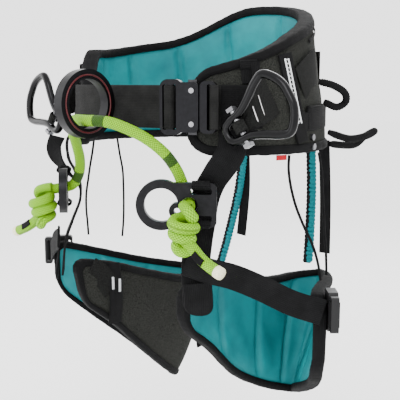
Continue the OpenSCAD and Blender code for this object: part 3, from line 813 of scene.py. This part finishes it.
# ---- side rings ----
ringSpec = {"bar": 0.009}
turn = Matrix.Rotation(math.radians(8), 3, "Z") @ Matrix.Rotation(math.radians(-32), 3, "Y") @ Matrix.Rotation(math.radians(-2), 3, "X")


def atRing(x, y, z, mirror=False):
    q = turn @ Vector((x, y, z)) + Vector((149, -91.5, -19))
    return Vector((-q.x if mirror else q.x, q.y, q.z)) * mm


half = [(-17, 0), (-14.5, 8), (-7, 11.5), (3, 12.5), (12, 15.5), (24, 22), (36, 29), (47, 32), (56, 24), (62, 12), (63, 0)]
loop = half + [(x, -z) for x, z in half[-2:0:-1]]


def sideRing(side, mirror):
    pts = smooth([atRing(x, 0, z, mirror) for x, z in loop], 160, closed=True)
    tubePiece("sideRing." + side, pts, ringSpec["bar"] / 2, glossMetal, "side_ring_" + side, ["side_d_" + side],
              sides=28, closed=True)
    flip = Vector((-1, 1, 1)) if mirror else Vector((1, 1, 1))
    rows = []
    for k in range(25):
        f = k / 24
        nearA, nearB = vec((145.2, -81.8, -12.4)), vec((152.8, -81.3, -24.4))
        farA, farB = wall(67, 38, 1.9), wall(73, -10, 1.9)
        outward = Vector((0.6, -0.8, 0)) * 0.009 * math.sin(math.pi * f)
        a, b = nearA.lerp(farA, f) + outward, nearB.lerp(farB, f) + outward
        rows.append((a, b))
    pts = [((a + b) / 2) * flip for a, b in rows]
    wides = [((a - b).normalized()) * flip for a, b in rows]
    width = [(a - b).length for a, b in rows]
    sleeve = []
    for k in range(12):
        a = math.radians(-150 + 230 * k / 11)
        sleeve.append(atRing(5.4 * math.cos(a), 5.4 * math.sin(a), 0, mirror))
    full = sleeve + pts
    wideFull = [wides[0]] * len(sleeve) + wides
    widthFull = [0.0126] * len(sleeve) + width
    strapPiece("ringFlap." + side, full, wideFull, widthFull, 0.0024, darkCloth, "saddle", ["d_flap_" + side])
    for s in (-1, 1):
        edge = [p + w * s * (d / 2 - 0.0012) for p, w, d in zip(pts, wides, width)]
        lift = [e + Vector((0.6 * flip.x, -0.7, 0)).normalized() * 0.0008 for e in edge]
        tubePiece(f"flapPiping.{side}.{s + 1}", smooth(lift, 50), 0.0013, tape, "saddle", (), sides=10)
    for i in (9, 15):
        mid, w = pts[i], wides[i]
        out = Vector((0.6 * flip.x, -0.7, 0)).normalized() * 0.0016
        seam = [mid + w * (width[i] * q) + out for q in (-0.3, 0, 0.3)]
        tubePiece(f"flapStitch.{side}.{i}", smooth(seam, 10), 0.0006, thread, "saddle", (), sides=8)


sideRing("left", False)
sideRing("right", True)
print("stage side rings done")

# ---- webbing to the forgings ----
c40, s40 = math.cos(math.radians(40)), math.sin(math.radians(40))
webRoute = [(127.5, -75, -24), (131.5, -85, -46), (121, -92, -66), (109, -92, -82), (101, -91, -99), (100, -94, -118),
            (103, -103, -140), (107, -111, -165), (111, -113, -205)]


def atForging(x, y, z, mirror=False):
    px = 80 + c40 * x - s40 * y
    return Vector((-px if mirror else px, -134 + s40 * x + c40 * y, -99 + z)) * mm


def ventral(side, mirror):
    sign = -1 if mirror else 1
    pts = smooth([vec((sign * x, y, z)) for x, y, z in webRoute], 90)
    strapPiece("ventralWeb." + side, pts, [Vector((sign * c40, s40, 0))] * len(pts), 0.030, 0.0026, blackWeb, "saddle",
               ["ventral_web_" + side], wave=0.0003)
    if mirror:
        # on this side the second layer hangs from the ring's pin and turns as it comes down
        layer = smooth([vec(p) for p in ((-139, -95, -41), (-137, -102, -54), (-128, -103, -68), (-116, -97, -84),
                                         (-106, -89, -100), (-104, -90, -118), (-107, -99, -140), (-111, -108, -165))], 60)
        across = [Vector((0.74, 0.67, 0)).lerp(Vector((c40, -s40, 0)), min(1, i / 34)).normalized() for i in range(61)]
        strapPiece("ventralBack." + side, layer, across, 0.020, 0.0026, blackWeb, "saddle", (), wave=0.0004)
    else:
        behind = Vector((-s40, c40, 0)) * 0.0036
        strapPiece("ventralBack." + side, [p + behind * (1 + 0.25 * math.sin(i / 7)) for i, p in enumerate(pts)][6:],
                   [Vector((c40, s40, 0))] * (len(pts) - 6), 0.029, 0.0022, blackWeb, "saddle", (),
                   wave=0.0004, seed=2)
    for k, s in (("upper", 1), ("lower", -1)):
        ring = []
        for j in range(40):
            a = 2 * math.pi * j / 40
            ring.append(atForging(41, -7.6 * math.cos(a) * (1 + 0.06 * math.cos(4 * a)), s * 20 + 4.0 * math.sin(a), mirror))
        ring.append(ring[0])
        strapPiece(f"forgingLoop.{side}.{k}", ring, [Vector((sign * c40, s40, 0))] * len(ring), 0.019, 0.0017, blackWeb, "saddle",
                   ["web_loops_" + side] if s > 0 else [])


ventral("left", False)
ventral("right", True)

# ---- knots and tails ----
knotSpec = {"place": (114.5, -137.5, -120), "rope": 0.0059}


def knot(side, mirror):
    base = Vector(knotSpec["place"])
    spin = Matrix.Rotation(math.radians(40), 3, "Z") @ Matrix.Rotation(math.radians(8), 3, "X")
    path = [(0, 14, 20), (2, 6, 20), (6, -2, 18)]
    for k in range(28):
        a = math.radians(-20 + k * 26)
        z = 13 - k * 0.78
        r = 9.2 + 1.8 * math.sin(k / 27 * math.pi)
        path.append((r * math.cos(a), r * math.sin(a), z))
    path += [(6, 7, -12), (-1, 5, -14), (-7, -2, -16), (-4, -6, -21), (3, -6, -21), (8, -4, -15)]
    pts = []
    for x, y, z in path:
        q = spin @ Vector((x, y, z)) + base
        pts.append(Vector((-q.x if mirror else q.x, q.y, q.z)) * mm)
    tubePiece("knot." + side, even(smooth(pts, 500), 0.0011), knotSpec["rope"], ropeMesh, "saddle", ["knot_" + side],
              sides=18)
    tail = [(117, -139, -131), (121, -138, -134), (126, -137.5, -137), (139, -139, -146), (152, -140, -152), (166, -140, -157)]
    tailPts = even(smooth([vec((-x if mirror else x, y, z)) for x, y, z in tail], 90), 0.0012)
    tubePiece("ropeTail." + side, tailPts, 0.006, ropeMesh, "saddle", ["rope_tail_" + side], sides=20)
    a, b = tailPts[-1], tailPts[-4]
    d = (a - b).normalized()
    tubePiece("tailEnd." + side, [a - d * 0.006, a - d * 0.003, a, a + d * 0.0012], lambda k: 0.00635 if k < 0.7 else 0.0058,
              paleEnd, "saddle", (), sides=20)
    n = len(tailPts)
    face = Vector((0, -1, 0.25)).normalized() * 0.0061
    strapPiece("tailLabel." + side, [p + face for p in tailPts[int(n * 0.36):int(n * 0.66)]],
               [Vector((0, 0.25, 1))] * (int(n * 0.66) - int(n * 0.36)), 0.0075, 0.0012, tape, "saddle", ())


paleEnd = metalMaterial("sealedRopeEnd", (0.7, 0.68, 0.45), 0.6, 0.0, 700)
knot("left", False)
knot("right", True)
print("stage rope parts done")

# ---- leg loops ----
legSpec = {"foam": 0.008, "shell": 0.003, "binding": 0.009, "crown": 0.005, "corner": 0.020}
legEdges = {
    "left": ([(92, -116, -184), (79, -60, -188), (75, 0, -200), (74, 60, -211), (76, 112, -214), (100, 138, -213),
              (130, 108, -209), (158, 60, -201), (186, 6, -193), (206, -30, -189), (217, -44, -190)],
             [(85, -108, -240), (78, -62, -272), (78, -15, -316), (84, 30, -342), (92, 60, -354), (106, 72, -356),
              (130, 50, -342), (156, 24, -326), (182, 0, -308), (203, -26, -289), (216, -46, -274)]),
    "right": ([(92, -116, -184), (79, -60, -196), (75, 0, -216), (74, 60, -234), (76, 112, -240), (100, 138, -238),
               (130, 108, -232), (158, 60, -220), (186, 6, -203), (206, -30, -192), (217, -44, -190)],
              [(85, -108, -240), (78, -62, -276), (78, -15, -320), (84, 30, -358), (92, 60, -380), (106, 70, -382),
               (130, 48, -358), (156, 24, -330), (182, 0, -304), (203, -26, -276), (216, -46, -252)])}
legPanels = {}


def splineAt(points, t):
    n = len(points) - 1
    u = min(max(t, 0), 1) * n
    i = min(int(u), n - 1)
    k = u - i
    a, b, c, d = points[max(i - 1, 0)], points[i], points[i + 1], points[min(i + 2, n)]
    return 0.5 * ((2 * b) + (c - a) * k + (2 * a - 5 * b + 4 * c - d) * k * k + (3 * b - a - 3 * c + d) * k ** 3)


def legPanel(side):
    sign = 1 if side == "left" else -1
    top, low = ([Vector(p) * mm for p in e] for e in legEdges[side])

    def at(t, v, off):
        a, b = splineAt(top, t), splineAt(low, t)
        along = splineAt(top, min(t + 0.01, 1)) - splineAt(top, max(t - 0.01, 0))
        out = along.cross(b - a).normalized()
        q = a + (b - a) * v + out * (off + legSpec["crown"] * math.sin(math.pi * min(max(v, 0), 1)))
        return Vector((q.x * sign, q.y, q.z))

    return Panel(at, lambda t: (splineAt(top, t) - splineAt(low, t)).length, 0, legSpec["corner"])


def legParts(side):
    panel = legPanel(side)
    legPanels[side] = panel
    length = panel.length
    lines = []
    for f, g in ((0.16, 0.2), (0.33, 0.36), (0.47, 0.47), (0.6, 0.56), (0.73, 0.66), (0.86, 0.8)):
        s0, s1 = f * length, g * length
        h1 = panel.height(panel.share(s1))
        lines.append(([(s0, 0), ((s0 + s1) / 2, h1 * 0.5), (s1, h1)], 0.0085, 0.0055))

    def padOff(s, d, edge):
        crown = 0.003 * min(edge / 0.02, 1) ** 0.6
        wrinkle = 0.0007 * math.sin(s * 150 + 2.5 * math.sin(d * 50)) * min(edge / 0.02, 1)
        return -legSpec["foam"] + 0.0022 - crown + channelDepth(lines, s, d) * min(edge / 0.012, 1) + wrinkle

    def coverOff(s, d, edge):
        return legSpec["shell"] - 0.0008 + 0.0008 * min(edge / 0.015, 1) + 0.0004 * math.sin(s * 60 + d * 45)

    pad = facePiece("legPad." + side, panel, legSpec["binding"] - 0.001, padOff, -0.0003, teal, ["leg_foam_" + side])
    facePiece("legCover." + side, panel, legSpec["binding"] - 0.001, coverOff, 0.0001, greyCloth, ["leg_shell_" + side])
    bindingPiece("legBinding." + side, panel, legSpec["binding"], legSpec["shell"], -legSpec["foam"],
                 ["leg_binding_" + side])
    # the webbing and stripes sewn to the outside of the cover
    sign = 1 if side == "left" else -1

    def onPanel(name, route, width, material, off=0.0044, thick=0.0022, nodes=()):
        pts, wides = [], []
        for f, v in [(p.x, p.y) for p in smooth([(f, v, 0) for f, v in route], 24)]:
            s = f * length
            h = panel.height(panel.share(s))
            pts.append(panel.point(s, v * h, off))
        for i in range(len(pts)):
            along = pts[min(i + 1, len(pts) - 1)] - pts[max(i - 1, 0)]
            f, v = [(p.x, p.y) for p in smooth([(f, v, 0) for f, v in route], 24)][i]
            h = panel.height(panel.share(f * length))
            out = panel.point(f * length, v * h, off + 0.001) - panel.point(f * length, v * h, off)
            wides.append(along.cross(out).normalized())
        strapPiece(name, pts, wides, width, thick, material, "saddle", nodes)

    onPanel("legBand." + side, [(0.115, 0.02), (0.118, 0.5), (0.12, 0.97)], 0.019, blackWeb)
    for i, f in enumerate((0.108, 0.13)):
        onPanel(f"legStripe.{side}.{i}", [(f, 0.24), (f - 0.001, 0.34), (f - 0.002, 0.44)], 0.0032, shine, 0.0061, 0.0006,
                ["leg_reflectors"] if side == "left" and i == 0 else [])
    onPanel("legGusset." + side, [(0.045, 0.16), (0.075, 0.26), (0.108, 0.46)], 0.028, darkCloth, 0.0036, 0.0014)


legParts("left")
legParts("right")
print("stage leg pads done")

legStrap = [(100, -124, -152), (104, -124, -158), (122, -110, -166), (145, -95, -172), (171, -80, -183), (196, -64, -196), (222, -46, -205)]
c132, s132 = math.cos(math.radians(132)), math.sin(math.radians(132))


def atLegBuckle(x, y, z, mirror=False):
    px = 220 + c132 * x - s132 * y
    return Vector((-px if mirror else px, -28 + s132 * x + c132 * y, -206 + z)) * mm


def legStraps(side, mirror):
    sign = -1 if mirror else 1
    pts = smooth([vec((sign * x, y, z)) for x, y, z in legStrap[1:]], 90)
    strapPiece("legStrap." + side, pts, [Vector((0, 0.02, 1))] * len(pts), 0.027, 0.0026, blackWeb, "saddle",
               ["leg_strap_" + side], wave=0.0004)
    low = [(114, -116.5, -180), (116, -117, -192), (117, -117.5, -203), (117, -118, -213)]
    patch = smooth([vec((sign * x, y, z)) for x, y, z in low], 40)
    width = [0.030 * min(1, math.sqrt(max(0.02, 1 - max(0, (k - 26) / 14.5) ** 2))) for k in range(41)]
    strapPiece("legPatch." + side, patch, [Vector((sign * c40, s40, 0))] * len(patch), width, 0.003, blackWeb, "saddle", ())
    fold = []
    for k in range(24):
        a = 2 * math.pi * k / 23
        fold.append(atLegBuckle(-19 + 3.2 * math.cos(a), 4.6 * math.sin(a), 0, mirror))
    strapPiece("legFold." + side, fold, [Vector((0, 0, 1))] * len(fold), 0.0268, 0.0018, blackWeb, "leg_tongue_" + side, ())


legStraps("left", False)
legStraps("right", True)

# ---- risers ----
riserRoutes = {
    "riserLeft": ([(74, 144, -46), (74, 148, -110), (74, 146, -170), (76, 140, -206)], 0.013, 1),
    "riserRight": ([(-38, 149, -46), (-50, 152, -120), (-66, 148, -190), (-74, 140, -232)], 0.013, 1),
    "riserTailLeft": ([(102, 132, -46), (102, 138, -120), (104, 136, -190)], 0.016, 0),
    "riserTailRight": ([(-42, 153, -46), (-46, 161, -120), (-52, 160, -190)], 0.016, 0)}
for name, (route, width, gathered) in riserRoutes.items():
    pts = even(smooth([vec(p) for p in route], 100), 0.0006 if gathered else 0.004)
    if gathered:
        wave = [width * (0.9 + 0.16 * abs(math.sin(i * 0.0006 / 0.0052 * math.pi))) for i in range(len(pts))]
        pts = [p + Vector((0, 0.0012 * math.sin(i * 0.0006 / 0.0052 * 2 * math.pi), 0)) for i, p in enumerate(pts)]
        strapPiece(name, pts, [Vector((1, 0, 0))] * len(pts), wave, 0.005, gather, "saddle",
                   ["elastic_risers"] if name == "riserLeft" else [])
    else:
        strapPiece(name, pts, [Vector((1, 0, 0))] * len(pts), width, 0.0022, blackWeb, "saddle", ())
print("stage straps done")

# ---- floor and light ----


def makeStage():
    mat = bpy.data.materials.new("floor")
    mat.use_nodes = True
    s = mat.node_tree.nodes["Principled BSDF"].inputs
    s["Base Color"].default_value, s["Roughness"].default_value = (0.97, 0.97, 0.97, 1), 0.9
    mesh = bpy.data.meshes.new("floor")
    z = min(c[2] for c in startBox) - 0.12
    mesh.from_pydata([(-9, -9, z), (9, -9, z), (9, 9, z), (-9, 9, z)], [], [(0, 1, 2, 3)])
    floor = bpy.data.objects.new("floor", mesh)
    mesh.materials.append(mat)
    bpy.context.scene.collection.objects.link(floor)
    floor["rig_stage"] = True
    for name, place, size, power in (("key", (0.7, -1.3, 1.0), 0.9, 20), ("fill", (-1.3, -0.9, 0.3), 1.2, 12),
                                     ("rim", (-0.4, 1.3, 0.9), 0.8, 14), ("inner", (0.2, -1.6, -0.2), 0.9, 8)):
        light = bpy.data.lights.new(name, "AREA")
        light.size, light.energy = size, power
        obj = bpy.data.objects.new(name, light)
        obj.location = place
        obj.rotation_euler = (Vector((0, 0, -0.1)) - Vector(place)).to_track_quat("-Z", "Y").to_euler()
        bpy.context.scene.collection.objects.link(obj)
    world = bpy.data.worlds.new("studio")
    world.use_nodes = True
    world.node_tree.nodes["Background"].inputs[0].default_value = (1, 1, 1, 1)
    world.node_tree.nodes["Background"].inputs[1].default_value = 2.6
    bpy.context.scene.world = world


makeStage()
